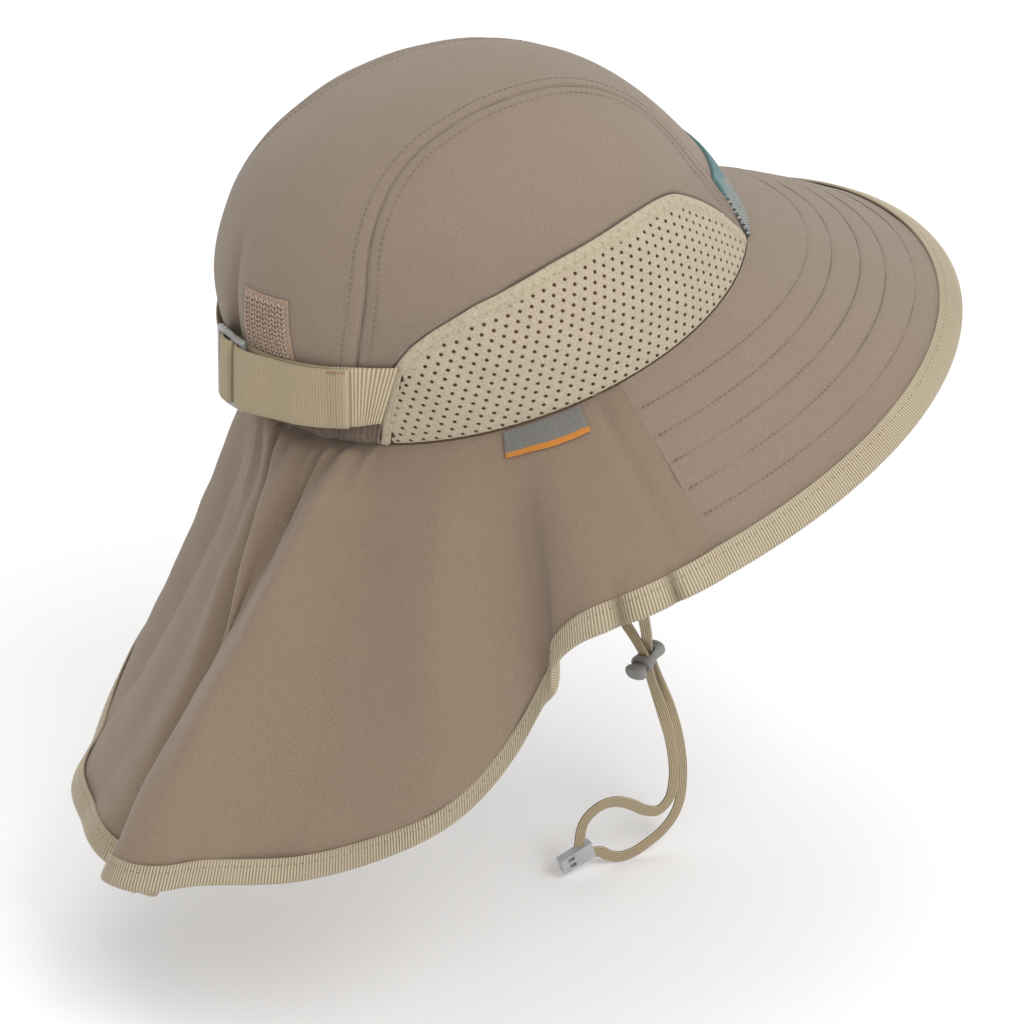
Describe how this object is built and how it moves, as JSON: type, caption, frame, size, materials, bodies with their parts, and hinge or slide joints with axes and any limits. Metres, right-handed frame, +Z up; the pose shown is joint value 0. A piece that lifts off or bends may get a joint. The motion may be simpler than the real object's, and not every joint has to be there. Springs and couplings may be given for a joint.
{
  "type": "adventure sun hat",
  "caption": "Sun hat with a rounded mesh-sided crown, stiff stitched brim, gathered neck flap, rear adjusting strap and a chin cord with lock and end clip.",
  "frame": {"origin": "centre of the head opening, at the foot of the crown, where the hat sits on a head", "axes": "+Z up, -Y to the front of the brim, -X to the wearer's right; the head opening is pitched front up by 15.7 degrees, as worn in the picture"},
  "size_m": [0.2832, 0.3775, 0.3735],
  "materials": {
    "taupe_cloth": "matt plain-woven nylon",
    "sand_mesh": "perforated knit",
    "teal_webbing": "patterned webbing",
    "sand_tape": "ribbed tape",
    "beige_webbing": "ribbed webbing and flat braid",
    "clear_grey_plastic": "smoky clear",
    "loop_pile": "loop pile",
    "grey_label": "woven",
    "grey_plastic": "fine matt",
    "light_grey_plastic": "satin"
  },
  "bodies": {
    "hat": {"crown_centre_panel": "taupe_cloth", "crown_side_panel_right": "taupe_cloth", "crown_side_panel_left": "taupe_cloth", "mesh_panel_right": "sand_mesh", "mesh_panel_left": "sand_mesh", "front_band": "teal_webbing", "elastic_casing": "taupe_cloth", "brim": "taupe_cloth", "neck_flap": "taupe_cloth", "brim_binding": "sand_tape", "flap_binding": "sand_tape", "rear_strap_right": "beige_webbing", "rear_strap_left": "beige_webbing", "strap_slider": "clear_grey_plastic", "crown_patch": "loop_pile", "side_label": "grey_label", "chin_cord_right": "beige_webbing", "chin_cord_left": "beige_webbing", "cord_lock_barrel": "grey_plastic", "cord_end_clip": "light_grey_plastic"},
    "lock_button": {"cord_lock_button": "grey_plastic"}
  },
  "joints": [
    {"name": "lock_button_press", "type": "slide", "parent": "hat", "child": "lock_button", "axis": [0.4405, -0.8409, 0.3143], "range_m": [0, 0.002], "stiffness_N_per_m": 800}
  ]
}
